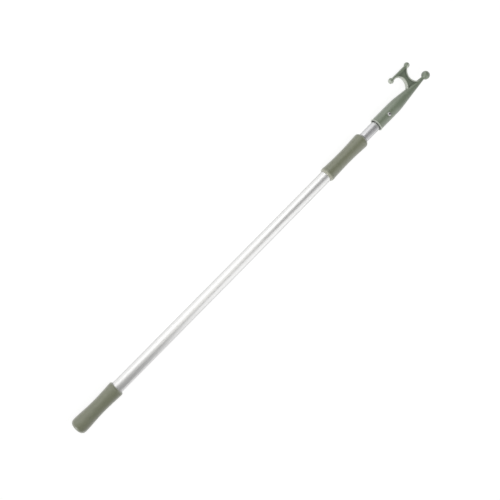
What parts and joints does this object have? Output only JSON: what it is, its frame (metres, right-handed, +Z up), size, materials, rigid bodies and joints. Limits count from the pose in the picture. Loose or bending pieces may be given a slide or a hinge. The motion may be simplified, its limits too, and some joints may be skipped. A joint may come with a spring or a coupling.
{
  "type": "telescopic boat hook",
  "caption": "Telescopic pole with a double-notched hook head, a soft grip at the butt and at the middle, and a twist-operated cam lock inside its aluminium tubes.",
  "frame": {"origin": "centre of the butt end's flat face, on the pole's axis", "axes": "+X along the pole from butt to tip, +Y towards the fork's side, +Z up when the pole lies on the floor with its fork's balls down on it"},
  "size_m": [1.1973, 0.0777, 0.0408],
  "materials": {
    "grip_foam": "satin moulded soft PVC, olive grey",
    "bright_aluminium": "bright drawn",
    "nylon_grey": "semi-gloss moulded nylon, grey green",
    "nylon_white": "natural nylon",
    "nylon_black": "matte",
    "rubber_black": "matte",
    "float_foam": "closed-cell foam",
    "rivet_aluminium": "satin",
    "steel": "zinc plated"
  },
  "bodies": {
    "outer_section": {"butt_grip": "grip_foam", "butt_plug": "nylon_white", "butt_plug_seal": "rubber_black", "butt_float": "float_foam", "outer_tube": "bright_aluminium", "guide_bush": "nylon_white", "wiper_ring": "rubber_black", "mid_grip": "grip_foam"},
    "guide_carrier": {"guide_ring": "nylon_black"},
    "inner_section": {"inner_tube": "bright_aluminium", "lock_spindle": "nylon_white", "spindle_pin": "steel", "spindle_seal": "rubber_black", "head_float": "float_foam", "hook_head": "nylon_grey", "head_rivet_upper": "rivet_aluminium", "head_rivet_lower": "rivet_aluminium", "rivet_mandrel_upper": "steel", "rivet_mandrel_lower": "steel"},
    "lock_cam_section": {"lock_cam": "nylon_white", "cam_drag_ring": "rubber_black"}
  },
  "joints": [
    {"name": "tube_slide", "type": "slide", "parent": "outer_section", "child": "guide_carrier", "axis": [1, 0, 0], "range_m": [-0.0462, 0.77795]},
    {"name": "twist_lock", "type": "hinge", "parent": "guide_carrier", "child": "inner_section", "pos_m": [0.09735, 0, 0], "axis": [1, 0, 0], "range_deg": [-45, 45]},
    {"name": "cam_turn", "type": "hinge", "parent": "inner_section", "child": "lock_cam_section", "pos_m": [0.11995, 0, 0.001], "axis": [1, 0, 0], "range_deg": [-45, 45]}
  ],
  "couplings": [
    {"joint": "cam_turn", "follows": "twist_lock", "ratio": -1}
  ]
}
